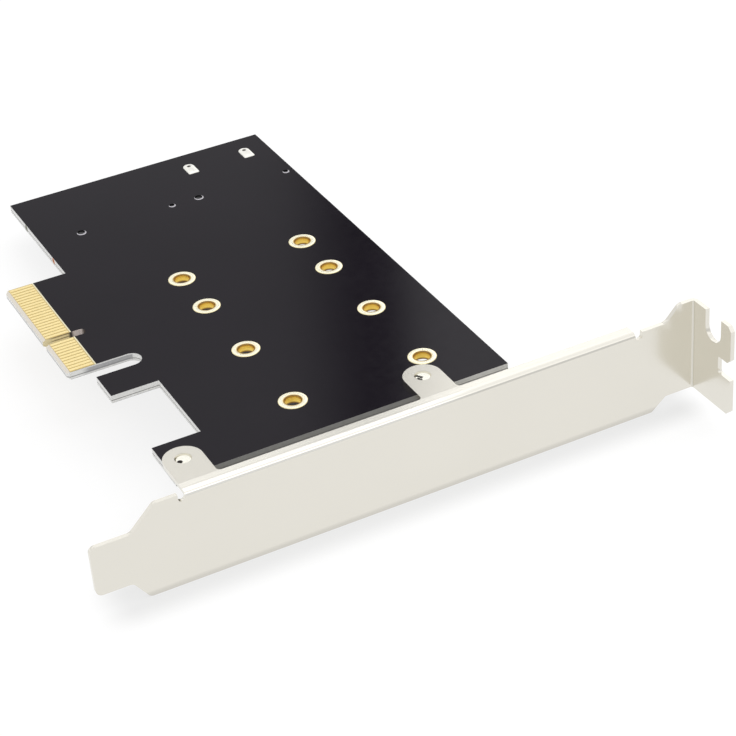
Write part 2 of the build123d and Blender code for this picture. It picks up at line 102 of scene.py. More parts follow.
# Bracket: outer face, folded lip, where its painted highlights and the board edge's painted shade fade, and
# the bend of its flange
SHEET = 0.86
PLATE_FACE = -58.93
LIP_EDGE = PLATE_FACE + 2.86
LIP_TOP = SOLDER_FACE + SHEET
LIP_ENDS = (3.6, 92.4)
LIP_FADE = (48.0, 62.0)
FLANGE_BEND = BRACKET_HIGH.x - SHEET - 0.08


# Shader helpers

def new_tree(tree):
    """A short call for adding and joining nodes in one tree."""

    def add(kind, inputs=(), **settings):
        made = tree.nodes.new(kind)
        for key, value in settings.items():
            setattr(made, key, value)
        for key, value in dict(inputs).items():
            join(made.inputs[key], value)
        return made

    return add


def join(socket, value):
    """Links a socket to another, or sets its value."""
    if isinstance(value, bpy.types.NodeSocket):
        socket.id_data.links.new(value, socket)
    else:
        socket.default_value = value


def math_node(add, operation, a, b=0.0):
    return add("ShaderNodeMath", {0: a, 1: b}, operation=operation).outputs[0]


def plus(add, a, b):
    return math_node(add, "ADD", a, b)


def minus(add, a, b):
    return math_node(add, "SUBTRACT", a, b)


def both(add, a, b):
    return math_node(add, "MULTIPLY", a, b)


def either(add, a, b):
    return math_node(add, "MAXIMUM", a, b)


def inverse(add, value):
    return minus(add, 1.0, value)


def after(add, value, start, end):
    """0 up to start and 1 past end, eased between."""
    made = add("ShaderNodeMapRange", {"Value": value, "From Min": start, "From Max": end},
               interpolation_type="SMOOTHSTEP")
    return made.outputs[0]


def before(add, value, start, end):
    """1 up to start and 0 past end, eased between."""
    return inverse(add, after(add, value, start, end))


def between(add, value, low, high, ease):
    """1 from low to high, eased to 0 on both sides."""
    return both(add, after(add, value, low - ease, low), before(add, value, high, high + ease))


def mix_colour(add, factor, a, b):
    made = add("ShaderNodeMix", data_type="RGBA")
    for index, value in ((0, factor), (6, a), (7, b)):
        join(made.inputs[index], value)
    return made.outputs[2]


def rgb(r, g, b):
    return (r, g, b, 1.0)


def millimetres(add):
    """Object coordinates in millimetres."""
    place = add("ShaderNodeTexCoord").outputs["Object"]
    return add("ShaderNodeVectorMath", {0: place, "Scale": 1 / MM}, operation="SCALE").outputs[0]


def parts(add, vector):
    """X, Y and Z of a vector."""
    return list(add("ShaderNodeSeparateXYZ", {0: vector}).outputs)


def spot(add, vector, place, inner, outer):
    """1 within the inner distance of a place, and 0 past the outer one."""
    away = add("ShaderNodeVectorMath", {0: vector, 1: place}, operation="DISTANCE").outputs["Value"]
    return before(add, away, inner, outer)


def noise_at(add, vector, scale, detail=2.0, roughness=0.5, stretch=None):
    if stretch:
        vector = add("ShaderNodeVectorMath", {0: vector, 1: stretch}, operation="MULTIPLY").outputs[0]
    made = add("ShaderNodeTexNoise", {"Vector": vector, "Scale": scale, "Detail": detail,
                                      "Roughness": roughness})
    return made.outputs[0]


def bump(add, height, distance, strength):
    made = add("ShaderNodeBump", {"Height": height, "Distance": distance * MM, "Strength": strength})
    return made.outputs[0]


def make_group(name, build, outputs, **inputs):
    """A shared effect. build(add, **inputs) gives a dict of float sockets, one for each output."""
    group = bpy.data.node_groups.new(name, "ShaderNodeTree")
    for label, value in inputs.items():
        socket = group.interface.new_socket(label, in_out="INPUT", socket_type="NodeSocketFloat")
        socket.default_value = value
    for label in outputs:
        group.interface.new_socket(label, in_out="OUTPUT", socket_type="NodeSocketFloat")
    add = new_tree(group)
    given = add("NodeGroupInput").outputs
    made = build(add, **{label: given[label] for label in inputs})
    add("NodeGroupOutput", {label: made[label] for label in outputs})
    return group


def use_group(add, group, **values):
    made = add("ShaderNodeGroup")
    made.node_tree = group
    for key, value in values.items():
        made.inputs[key].default_value = value
    return made.outputs


def empty_material(name):
    """A material with no nodes, and the call that adds them."""
    made = bpy.data.materials.new(name)
    made.use_nodes = True
    made.node_tree.nodes.clear()
    return made, new_tree(made.node_tree)


def material(name, build, **plain):
    """A Principled material. build(add) gives sockets for its inputs, and plain sets fixed values."""
    made, add = empty_material(name)
    shader = add("ShaderNodeBsdfPrincipled")
    for key, value in plain.items():
        shader.inputs[key.replace("_", " ")].default_value = value
    for key, socket in build(add).items():
        join(shader.inputs[key], socket)
    add("ShaderNodeOutputMaterial", {0: shader.outputs[0]})
    return made


# Shared effects

def pair_distance(add, x, y, columns, line):
    """Distance to the nearer of two points that lie on one line across the card."""
    middle = sum(columns) / 2
    half = (columns[1] - columns[0]) / 2
    across = minus(add, math_node(add, "ABSOLUTE", minus(add, x, middle)), half)
    along = minus(add, y, line)
    square = plus(add, both(add, across, across), both(add, along, along))
    return math_node(add, "SQRT", square)


def build_posts(add):
    """Distance to the nearest post hole's centre, in millimetres."""
    x, y = parts(add, millimetres(add))[:2]
    nearest = pair_distance(add, x, y, COLUMNS, POST_LINES[0])
    for line in POST_LINES[1:]:
        nearest = math_node(add, "MINIMUM", nearest, pair_distance(add, x, y, COLUMNS, line))
    return {"Distance": nearest}


def build_pegs(add):
    """1 inside the socket peg holes, where shade is painted, and 1 on a crescent below each one, where a
    highlight is painted.
    """
    ease = 0.03
    x, y = parts(add, millimetres(add))[:2]
    made = {}
    for label, shift, extra in (("Hole", 0.0, 0.08), ("Crescent", 0.26, 0.16)):
        shares = []
        for offset, radius in PEG_HOLES:
            distance = pair_distance(add, x, y, [column + offset for column in COLUMNS], PEG_Y - shift)
            shares.append(before(add, distance, radius + extra - ease, radius + extra + ease))
        made[label] = either(add, *shares)
    return made


def build_surface(add, scale):
    """Unevenness that every finish on the card shares. A larger scale suits a smaller piece."""
    vector = millimetres(add)
    sized = add("ShaderNodeVectorMath", {0: vector, "Scale": scale}, operation="SCALE").outputs[0]
    return {
        "Slow": noise_at(add, sized, 0.045, 2.0),
        "Middle": noise_at(add, sized, 0.6, 3.0),
        "Fine": noise_at(add, vector, 9.0, 3.0, 0.6),
    }


posts_group = make_group("post_distance", build_posts, ["Distance"])
pegs_group = make_group("peg_holes", build_pegs, ["Hole", "Crescent"])
surface_group = make_group("surface_unevenness", build_surface, ["Slow", "Middle", "Fine"], scale=1.0)


# Board

def cut_edge_colour(add, weave, x, y, z):
    """Cut glass laminate: pale plies, a thin copper layer and the mask's dark lips, with painted shade on
    the slot's wall and on the board's front edge.
    """
    colour = mix_colour(add, weave, rgb(0.88, 0.88, 0.86), rgb(1.0, 1.0, 0.99))
    copper = between(add, z, -0.30, -0.20, 0.05)
    colour = mix_colour(add, both(add, copper, 0.8), colour, rgb(0.12, 0.11, 0.10))
    mask_lip = after(add, math_node(add, "ABSOLUTE", z), SOLDER_FACE - 0.065, SOLDER_FACE - 0.035)
    colour = mix_colour(add, both(add, mask_lip, 0.7), colour, rgb(0.03, 0.03, 0.03))

    # Painted shade: the wall inside the hook's slot is grey.
    slot_wall_shade = both(add, between(add, y, TONGUE_SIDE - 0.25, TONGUE_SIDE + 0.25, 0.05),
                     between(add, x, 4.5, 12.8, 2.0))
    slot_wall_shade = both(add, slot_wall_shade, between(add, z, -0.40, 0.45, 0.15))
    colour = mix_colour(add, both(add, slot_wall_shade, 0.7), colour, rgb(0.33, 0.33, 0.35))

    # Painted shade: the board's front edge under the bracket's lip is dark, less so to the right.
    front = before(add, y, FRONT_EDGE + 0.05, FRONT_EDGE + 0.15)
    front = both(add, front, minus(add, 0.85, both(add, after(add, x, *LIP_FADE), 0.55)))
    return mix_colour(add, front, colour, rgb(0.18, 0.18, 0.18))


def notch_colour(add, weave, x, z):
    """Walls of the key notch: amber with two dark lines, and pinkish at its root, with painted shade at the
    root's two ends.
    """
    lines = either(add, between(add, z, 0.55, 0.80, 0.06), between(add, z, -0.06, 0.08, 0.08))
    amber = mix_colour(add, both(add, lines, 0.8), rgb(0.97, 0.83, 0.48), rgb(0.22, 0.15, 0.07))
    amber = mix_colour(add, before(add, x, 0.8, 2.6), amber, rgb(0.88, 0.78, 0.50))
    root = mix_colour(add, weave, rgb(0.62, 0.55, 0.52), rgb(0.88, 0.80, 0.77))
    # Painted shade: the root darkens at its near end and deep in the notch's round end.
    root = mix_colour(add, inverse(add, between(add, x, 6.3, 7.6, 0.6)), root, rgb(0.06, 0.05, 0.045))
    return mix_colour(add, after(add, x, 5.0, 5.6), amber, root)


def laminate_colour(add, vector, x, y, z):
    """Every cut wall of the board, with two small stains on the edge past the tongue."""
    weave = noise_at(add, vector, 1.0, 1.0, stretch=(0.4, 2.6, 0.4))
    depth = KEY_NOTCH[0] + 1.1
    half = KEY_NOTCH[2] + 0.1
    notch = both(add, between(add, y, -half, half, 0.05), before(add, x, depth, depth + 0.1))
    colour = mix_colour(add, notch, cut_edge_colour(add, weave, x, y, z), notch_colour(add, weave, x, z))
    for y_place, z_place, size, paint in ((29.2, 0.1, 0.85, rgb(0.62, 0.20, 0.06)),
                                          (45.3, 0.0, 0.95, rgb(0.22, 0.23, 0.17))):
        stain = spot(add, vector, (FAR_EDGE, y_place, z_place), 0.5 * size, size)
        colour = mix_colour(add, stain, colour, paint)
    return colour


def board_look(add):
    """Black mask on both faces, bare laminate round the fingers and on every cut edge. The peg holes' walls
    get painted shade, and a highlight is painted on a crescent below each hole.
    """
    vector = millimetres(add)
    x, y, z = parts(add, vector)
    uneven = use_group(add, surface_group)
    pegs = use_group(add, pegs_group)
    normal = add("ShaderNodeNewGeometry").outputs["True Normal"]
    up = math_node(add, "ABSOLUTE", parts(add, normal)[2])
    face = after(add, up, 0.93, 0.99)
    tongue = both(add, before(add, x, MASK_START - 0.03, MASK_START + 0.03),
                  after(add, y, TONGUE_SIDE - 0.45, TONGUE_SIDE - 0.35))
    masked = both(add, face, inverse(add, tongue))

    mask = mix_colour(add, uneven["Slow"], rgb(0.0050, 0.0034, 0.0068), rgb(0.0085, 0.0060, 0.0108))
    # Painted highlight: a pale crescent on the near side of each peg hole.
    mask = mix_colour(add, both(add, pegs["Crescent"], 0.85), mask, rgb(0.62, 0.60, 0.64))
    laminate = laminate_colour(add, vector, x, y, z)
    # Painted shade: the walls inside the peg holes are near black.
    laminate = mix_colour(add, both(add, pegs["Hole"], inverse(add, face)), laminate, rgb(0.01, 0.01, 0.01))
    strip = after(add, x, MASK_START - 0.29, MASK_START - 0.21)
    bare = mix_colour(add, strip, rgb(0.60, 0.47, 0.21), rgb(0.82, 0.77, 0.55))
    outer_edge = before(add, x, FINGERS_LOW.x - 0.10, FINGERS_LOW.x - 0.02)
    bare = mix_colour(add, outer_edge, bare, rgb(0.80, 0.75, 0.67))
    colour = mix_colour(add, after(add, up, 0.30, 0.50), laminate, bare)
    colour = mix_colour(add, masked, colour, mask)

    rough = plus(add, 0.07, both(add, uneven["Middle"], 0.06))
    rough = plus(add, rough, both(add, inverse(add, masked), 0.40))
    return {"Base Color": colour, "Roughness": rough, "Normal": bump(add, uneven["Fine"], 0.004, 0.25)}


# Metals

def gold_look(add):
    """Hard gold, rubbed along the way the card slides in."""
    uneven = use_group(add, surface_group)
    colour = mix_colour(add, uneven["Middle"], rgb(0.94, 0.765, 0.355), rgb(1.0, 0.835, 0.445))
    rub = noise_at(add, millimetres(add), 1.0, 3.0, stretch=(0.6, 9.0, 1.0))
    rough = plus(add, 0.20, both(add, rub, 0.18))
    return {"Base Color": colour, "Roughness": rough, "Normal": bump(add, rub, 0.006, 0.3)}


def land_look(add):
    """Tinned land that turns to gold at its inner rim. The barrel gets painted shade just below its rim, a
    painted dark line at the rim, and painted shade at its far end.
    """
    z = parts(add, millimetres(add))[2]
    distance = use_group(add, posts_group)["Distance"]
    uneven = use_group(add, surface_group)
    tin = mix_colour(add, uneven["Middle"], rgb(1.0, 0.95, 0.70), rgb(1.0, 0.985, 0.84))
    tin = mix_colour(add, after(add, distance, 2.45, 2.66), tin, rgb(0.93, 0.82, 0.48))
    gold = mix_colour(add, uneven["Middle"], rgb(1.0, 0.63, 0.08), rgb(1.0, 0.80, 0.22))
    # Painted shade: the barrel darkens just below its rim.
    gold = mix_colour(add, both(add, after(add, z, 0.30, 0.65), 0.7), gold, rgb(0.45, 0.24, 0.03))
    # Painted shade: a dark line where the land turns into the barrel.
    lip = between(add, distance, POST_WALL + 0.04, POST_WALL + 0.11, 0.05)
    gold = mix_colour(add, both(add, lip, 0.8), gold, rgb(0.25, 0.12, 0.03))
    colour = mix_colour(add, after(add, distance, POST_WALL + 0.13, POST_WALL + 0.42), gold, tin)
    barrel = before(add, distance, POST_WALL + 0.03, POST_WALL + 0.09)
    # Painted shade: the barrel's far end is dark.
    shade = both(add, before(add, z, -0.70, -0.30), barrel)
    colour = mix_colour(add, both(add, shade, 0.9), colour, rgb(0.10, 0.03, 0.02))
    rough = plus(add, 0.20, both(add, uneven["Fine"], 0.12))
    rough = plus(add, rough, both(add, before(add, distance, POST_WALL, POST_WALL + 0.07), 0.2))
    return {"Base Color": colour, "Roughness": rough, "Normal": bump(add, uneven["Fine"], 0.02, 0.25)}


def lip_painted_highlight(add, x, y, z):
    """Painted highlights along the folded lip and its bend, which fade to the right."""
    edge_line = both(add, between(add, y, LIP_EDGE - 1.08, LIP_EDGE + 0.07, 0.1), 0.2)
    bend_line = between(add, y, PLATE_FACE + 0.43, PLATE_FACE + 1.28, 0.1)
    top = both(add, either(add, edge_line, bend_line), after(add, z, LIP_TOP - 0.215, LIP_TOP - 0.175))
    bend = both(add, between(add, z, LIP_TOP - 0.695, LIP_TOP - 0.315, 0.05),
                before(add, y, PLATE_FACE + 0.53, PLATE_FACE + 0.63))
    sheen = both(add, either(add, top, bend), between(add, x, *LIP_ENDS, 0.1))
    return both(add, sheen, inverse(add, both(add, after(add, x, *LIP_FADE), 0.9)))


def plate_look(add):
    """Nickel-plated sheet: satin, with faint rolling lines and slow tone changes. Highlights are painted
    along the lip, and shade is painted on the tab tops, at the flange's bend and along the lower edge.
    """
    vector = millimetres(add)
    x, y, z = parts(add, vector)
    uneven = use_group(add, surface_group)
    lines = noise_at(add, vector, 1.0, 3.0, 0.65, stretch=(0.05, 5.0, 5.0))
    colour = mix_colour(add, uneven["Slow"], rgb(0.785, 0.76, 0.69), rgb(0.815, 0.79, 0.72))
    colour = mix_colour(add, both(add, lines, 0.2), colour, rgb(0.75, 0.725, 0.655))
    # Painted shade: the tab tops are darker than the rest of the same sheet.
    tab_top_shade = both(add, after(add, y, LIP_EDGE - 0.23, LIP_EDGE + 0.17),
                after(add, z, LIP_TOP - 0.045, LIP_TOP - 0.015))
    colour = mix_colour(add, both(add, tab_top_shade, 0.9), colour, rgb(0.665, 0.643, 0.582))
    # Painted highlight along the lip and its bend.
    colour = mix_colour(add, lip_painted_highlight(add, x, y, z), colour, rgb(1.0, 0.985, 0.93))
    # Painted shade: a darker band where the flange bends from the plate.
    corner = both(add, between(add, x, FLANGE_BEND - 0.12, FLANGE_BEND + 0.12, 0.05),
                  between(add, y, PLATE_FACE - 0.43, PLATE_FACE - 0.04, 0.05))
    colour = mix_colour(add, both(add, corner, 0.27), colour, rgb(0.40, 0.38, 0.30))
    # Painted shade: the plate darkens towards its lower edge.
    low = before(add, z, BRACKET_LOW.z + 0.275, BRACKET_LOW.z + 1.375)
    colour = mix_colour(add, both(add, low, 0.7), colour, rgb(0.60, 0.58, 0.53))
    rough = plus(add, 0.15, both(add, uneven["Middle"], 0.05))
    rough = plus(add, rough, both(add, lines, 0.05))
    height = plus(add, uneven["Fine"], lines)
    return {"Base Color": colour, "Roughness": rough, "Normal": bump(add, height, 0.006, 0.25)}


def metal_look(low, high, rough_low, rough_span, depth, scale):
    """A plain metal whose tone, roughness and surface vary a little."""

    def build(add):
        uneven = use_group(add, surface_group, scale=scale)
        colour = mix_colour(add, uneven["Middle"], low, high)
        rough = plus(add, rough_low, both(add, uneven["Fine"], rough_span))
        return {"Base Color": colour, "Roughness": rough, "Normal": bump(add, uneven["Fine"], depth, 0.4)}

    return build


def screw_look(add):
    """Bright plated steel. The shank's spiral lines and the spots on the tips are painted shade."""
    thread_pitch = 0.5
    # Painted shade: dark spots on the tips, where the gap in the tab's hole lies in shadow.
    tip_shade_spots = (
        (SCREWS[0], -0.80, -0.40, 0.60),
        (SCREWS[1], -0.80, 0.75, 0.36),
        (SCREWS[1], -0.55, 0.35, 0.36),
        (SCREWS[1], -0.30, -0.05, 0.36),
        (SCREWS[1], -1.00, -0.25, 0.40),
        (SCREWS[1], -0.75, -0.65, 0.40),
    )
    vector = millimetres(add)
    x, y, z = parts(add, vector)
    uneven = use_group(add, surface_group)
    turns = plus(add, both(add, z, 2 * math.pi / thread_pitch), math_node(add, "ARCTAN2", y, x))
    # Painted shade: dark spiral lines on the shank stand for the grooves.
    thread_groove_shade = after(add, math_node(add, "SINE", turns), -0.6, 0.8)
    thread_groove_shade = both(add, thread_groove_shade, between(add, z, -0.78, 0.75, 0.05))
    bright = mix_colour(add, uneven["Middle"], rgb(0.93, 0.91, 0.81), rgb(0.99, 0.97, 0.88))
    colour = mix_colour(add, both(add, thread_groove_shade, 0.7), bright, rgb(0.20, 0.19, 0.17))
    dark = 0.0
    for screw, across, along, size in tip_shade_spots:
        place = (screw.x + across, screw.y + along, SCREW_TIP)
        dark = either(add, dark, spot(add, vector, place, 0.7 * size, size))
    colour = mix_colour(add, dark, colour, rgb(0.02, 0.017, 0.015))
    rough = plus(add, 0.18, both(add, uneven["Fine"], 0.16))
    return {"Base Color": colour, "Roughness": rough, "Normal": bump(add, uneven["Fine"], 0.01, 0.4)}


def solder_look(add):
    """Solidified solder, with painted shade in the hollow where the lock's tip ends."""
    x, y = parts(add, millimetres(add))[:2]
    uneven = use_group(add, surface_group)
    hollow = pair_distance(add, x, y, LOCK_LINES, LOCK_Y - HOLLOW_SHIFT)
    bright = mix_colour(add, uneven["Middle"], rgb(0.86, 0.85, 0.79), rgb(0.97, 0.96, 0.91))
    # Painted shade: the hollow is near black.
    colour = mix_colour(add, after(add, hollow, 0.30, 0.55), rgb(0.07, 0.06, 0.055), bright)
    rough = plus(add, 0.24, both(add, uneven["Middle"], 0.20))
    height = plus(add, uneven["Middle"], uneven["Fine"])
    return {"Base Color": colour, "Roughness": rough, "Normal": bump(add, height, 0.03, 0.4)}


# Mouldings

def moulded_look(low, high, rough_low=0.42, depth=0.015, scale=1.0):
    """Moulded resin with a fine matt grain."""

    def build(add):
        uneven = use_group(add, surface_group, scale=scale)
        grain = noise_at(add, millimetres(add), 16.0, 2.0, 0.7)
        colour = mix_colour(add, uneven["Middle"], low, high)
        rough = plus(add, rough_low, both(add, grain, 0.25))
        return {"Base Color": colour, "Roughness": rough, "Normal": bump(add, grain, depth, 0.5)}

    return build


looks = {
    "board": material("solder_mask_and_laminate", board_look, Specular_IOR_Level=0.10),
    "gold": material("finger_gold", gold_look, Metallic=1.0),
    "land": material("tinned_land", land_look, Metallic=1.0),
    "bracket_plate": material("nickel_plated_sheet", plate_look, Metallic=1.0),
    "screw_steel": material("plated_screw", screw_look, Metallic=1.0),
    "connector_moulding": material("connector_moulding", moulded_look(
        rgb(0.018, 0.018, 0.019), rgb(0.032, 0.032, 0.034))),
    "contact_metal": material("spring_contacts", metal_look(
        rgb(0.70, 0.56, 0.30), rgb(0.84, 0.72, 0.46), 0.22, 0.18, 0.008, 3.0), Metallic=1.0),
    "tinned_metal": material("tinned_metal", metal_look(
        rgb(0.66, 0.66, 0.65), rgb(0.82, 0.82, 0.80), 0.26, 0.22, 0.02, 2.0), Metallic=1.0),
    "solder": material("solidified_solder", solder_look, Metallic=1.0),
    "chip_moulding": material("chip_moulding", moulded_look(
        rgb(0.020, 0.020, 0.021), rgb(0.036, 0.036, 0.038), 0.5, scale=1.5)),
    "inductor_core": material("pressed_core", moulded_look(
        rgb(0.07, 0.07, 0.073), rgb(0.12, 0.12, 0.125), 0.5, 0.04, 1.5)),
    "bulk_case": material("bulk_case", moulded_look(
        rgb(0.050, 0.046, 0.042), rgb(0.075, 0.070, 0.064), 0.38, scale=2.0)),
    "capacitor_ceramic": material("capacitor_ceramic", moulded_look(
        rgb(0.33, 0.23, 0.15), rgb(0.44, 0.33, 0.23), 0.35, scale=3.0)),
    "resistor_ceramic": material("resistor_ceramic", moulded_look(
        rgb(0.015, 0.015, 0.017), rgb(0.04, 0.04, 0.045), 0.22, scale=3.0)),
    "led_lens": material("led_lens", moulded_look(
        rgb(0.72, 0.72, 0.60), rgb(0.86, 0.86, 0.76), 0.12, scale=3.0)),
}


# Pieces

def mesh_object(name, bm):
    mesh = bpy.data.meshes.new(name)
    bmesh.ops.recalc_face_normals(bm, faces=bm.faces)
    bm.to_mesh(mesh)
    bm.free()
    return bpy.data.objects.new(name, mesh)


def dress(obj, look):
    obj.data.materials.clear()
    obj.data.materials.append(looks[look])


def finished(obj, look, slot, *replaced):
    """Gives a new piece its material and body, and hides the nodes it stands for."""
    bpy.context.scene.collection.objects.link(obj)
    dress(obj, look)
    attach(obj, "root")
    if replaced:
        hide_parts(*replaced)
    return obj


def copied(node):
    """A bmesh copy of a CAD node, with flat faces joined up again."""
    bm = bmesh.new()
    bm.from_mesh(nodes[node].data)
    bmesh.ops.remove_doubles(bm, verts=bm.verts, dist=1e-6)
    bmesh.ops.dissolve_limit(bm, angle_limit=math.radians(0.5), verts=bm.verts, edges=bm.edges)
    return bm


def softened(bm, node, name, look, width, segments=2):
    """Gives a copied node rounded edges, as real edges are."""
    for face in bm.faces:
        face.smooth = True
    obj = finished(mesh_object(name, bm), look, look, node)
    edge = obj.modifiers.new("edge", "BEVEL")
    edge.width = width * MM
    edge.segments = segments
    edge.limit_method = "ANGLE"
    edge.angle_limit = math.radians(30)
    flat = obj.modifiers.new("flat", "WEIGHTED_NORMAL")
    flat.weight = 100
    flat.thresh = 0.0
    return obj


def screw_with_tip(node):
    """The tip is turned down and stands a little off its hole's centre, so one side shows a gap."""
    turned_down = 0.30
    tip_length = 0.35
    off_centre = 0.10
    bm = copied(node)
    top = [e for e in bm.edges if all(v.co.z > (SCREW_TIP - 0.01) * MM for v in e.verts)]
    bmesh.ops.bevel(bm, geom=top, offset=turned_down * MM, segments=3, profile=0.6, affect="EDGES")
    for vert in bm.verts:
        if vert.co.z > (SCREW_TIP - tip_length) * MM:
            vert.co.x += off_centre * MM
            vert.co.y += off_centre * MM
    return softened(bm, node, node + "_finish", "screw_steel", 0.06)


def on_circle(vert, x, y, radius):
    return abs(math.hypot(vert.co.x / MM - x, vert.co.y / MM - y) - radius) < 0.02


def rounder_arcs(bm, arcs, cuts):
    """Splits the short edges that follow each arc and sets the new points on the true circle."""
    for x, y, radius in arcs:
        edges = [e for e in bm.edges if all(on_circle(v, x, y, radius) for v in e.verts)
                 and abs(e.verts[0].co.z - e.verts[1].co.z) < 1e-6 and e.calc_length() < 1.2 * radius * MM]
        made = bmesh.ops.subdivide_edges(bm, edges=edges, cuts=cuts, use_grid_fill=True)
        for vert in made["geom_inner"]:
            if isinstance(vert, bmesh.types.BMVert):
                angle = math.atan2(vert.co.y - y * MM, vert.co.x - x * MM)
                vert.co.x = (x + radius * math.cos(angle)) * MM
                vert.co.y = (y + radius * math.sin(angle)) * MM


def board_with_round_ends():
    bm = copied("circuit_board")
    arcs = [HOOK_SLOT, KEY_NOTCH]
    arcs += [(column + offset, PEG_Y, radius) for offset, radius in PEG_HOLES for column in COLUMNS]
    rounder_arcs(bm, arcs, 4)
    return finished(mesh_object("board_finish", bm), "board", "board", "circuit_board")


def bridged(bm, outer, inner):
    """Smooth faces between two rings of points."""
    count = len(outer)
    for n in range(count):
        m = (n + 1) % count
        bm.faces.new((outer[n], outer[m], inner[m], inner[n])).smooth = True


def turned(bm, profile, x, y, steps):
    """Revolves a profile of (radius, height) about an upright line."""
    rings = []
    for radius, height in profile:
        ring = []
        for n in range(steps):
            a = 2 * math.pi * n / steps
            ring.append(bm.verts.new(
                ((x + radius * math.cos(a)) * MM, (y + radius * math.sin(a)) * MM, height * MM)))
        rings.append(ring)
    for lower, upper in zip(rings, rings[1:]):
        bridged(bm, lower, upper)


def post_rings():
    """Tinned lands that turn over into the plated barrels of the post holes."""
    bm = bmesh.new()
    thickness = 0.07
    top = SOLDER_FACE + thickness
    half = [(2.68, SOLDER_FACE), (2.66, top - 0.03), (2.60, top), (2.2, top + 0.004), (1.72, top),
            (1.62, top - 0.02), (1.55, top - 0.07), (POST_WALL, top - 0.16)]
    profile = half + [(radius, -height) for radius, height in reversed(half)]
    for x in COLUMNS:
        for y in POST_LINES:
            turned(bm, profile, x, y, 64)
    return finished(mesh_object("post_hole_lands", bm), "land", "tinned_metal")


def arc_points(x, y, radius, start, sweep, steps):
    """Points on an arc, both of its ends among them."""
    angles = [start + sweep * n / steps for n in range(steps + 1)]
    return [(x + radius * math.cos(a), y + radius * math.sin(a)) for a in angles]


def solder_rise(across, y, x, share):
    """Height of the solder above the board. Share is 1 at its rim and 0 in its middle."""
    crown = 0.34
    waviness = 0.04
    hollow_depth = 0.16
    hollow_radius = 0.55
    rise = crown * (1 - share ** 5) ** 0.5
    rise += waviness * noise.noise(Vector((across + x, y, 0.0)) * 0.9) * (1 - share)
    away = math.hypot(across, y - LOCK_Y + HOLLOW_SHIFT)
    rise -= hollow_depth * max(0.0, 1 - (away / hollow_radius) ** 2)
    return max(rise, 0.0)


def solder_pool(name, x, node):
    """A drop of solder over the lock's slot: straight sides, a round far end, a hollow at the tip."""
    half = 1.2
    corner = 0.35
    near = LOCK_Y - 3.2
    far = LOCK_Y + 1.15
    outline = arc_points(0.0, far - half, half, 0.0, math.pi, 24)
    outline += arc_points(corner - half, near + corner, corner, math.pi, math.pi / 2, 8)
    outline += arc_points(half - corner, near + corner, corner, 1.5 * math.pi, math.pi / 2, 8)
    bm = bmesh.new()
    middle = (near + far) / 2
    rings = []
    for share in (1.0, 0.985, 0.95, 0.9, 0.8, 0.7, 0.6, 0.5, 0.4, 0.3, 0.2, 0.1):
        ring = []
        for u, v in outline:
            across = u * share
            y = middle + (v - middle) * share
            height = SOLDER_FACE + solder_rise(across, y, x, share)
            ring.append(bm.verts.new(((x + across) * MM, y * MM, height * MM)))
        rings.append(ring)
    for outer, inner in zip(rings, rings[1:]):
        bridged(bm, outer, inner)
    bm.faces.new(rings[-1]).smooth = True
    return finished(mesh_object(name, bm), "solder", "solder", node)


kept_nodes = {
    "gold": ("edge_fingers_solder_side", "edge_fingers_component_side"),
    "contact_metal": ("data_port_contacts", "nvme_socket_contacts", "sata_socket_contacts"),
    "tinned_metal": ("nvme_socket_hold_downs", "sata_socket_hold_downs", "data_port_lock_inner",
                     "data_port_lock_outer", "regulator_leads", "power_inductor_pads",
                     "bulk_capacitor_terminals", "chip_capacitor_ends", "chip_resistor_ends",
                     "status_led_ends"),
    "chip_moulding": ("regulator_package",),
    "inductor_core": ("power_inductor",),
    "bulk_case": ("bulk_capacitors",),
    "capacitor_ceramic": ("chip_capacitors",),
    "resistor_ceramic": ("chip_resistors",),
    "led_lens": ("status_leds",),
}
for look, names in kept_nodes.items():
    for name in names:
        dress(nodes[name], look)

softened(copied("bracket"), "bracket", "bracket_sheet", "bracket_plate", 0.25, 3)
for node, width in (("nvme_socket_housing", 0.06), ("sata_socket_housing", 0.06),
                    ("data_port_housing", 0.08)):
    softened(copied(node), node, node + "_finish", "connector_moulding", width)
for node in ("bracket_screw_edge", "bracket_screw_middle"):
    screw_with_tip(node)
board_with_round_ends()
post_rings()
solder_pool("data_port_solder_pool_inner", LOCK_LINES[0], "data_port_solder_inner")
solder_pool("data_port_solder_pool_outer", LOCK_LINES[1], "data_port_solder_outer")


# Floor: the card rests on its bracket's lower edge and on the data port's far edge

def ray_kinds(add):
    """1 for rays that see the background, and 1 for rays that mirror it."""
    path = add("ShaderNodeLightPath").outputs
    return either(add, path["Is Camera Ray"], path["Is Transmission Ray"]), path["Is Glossy Ray"]


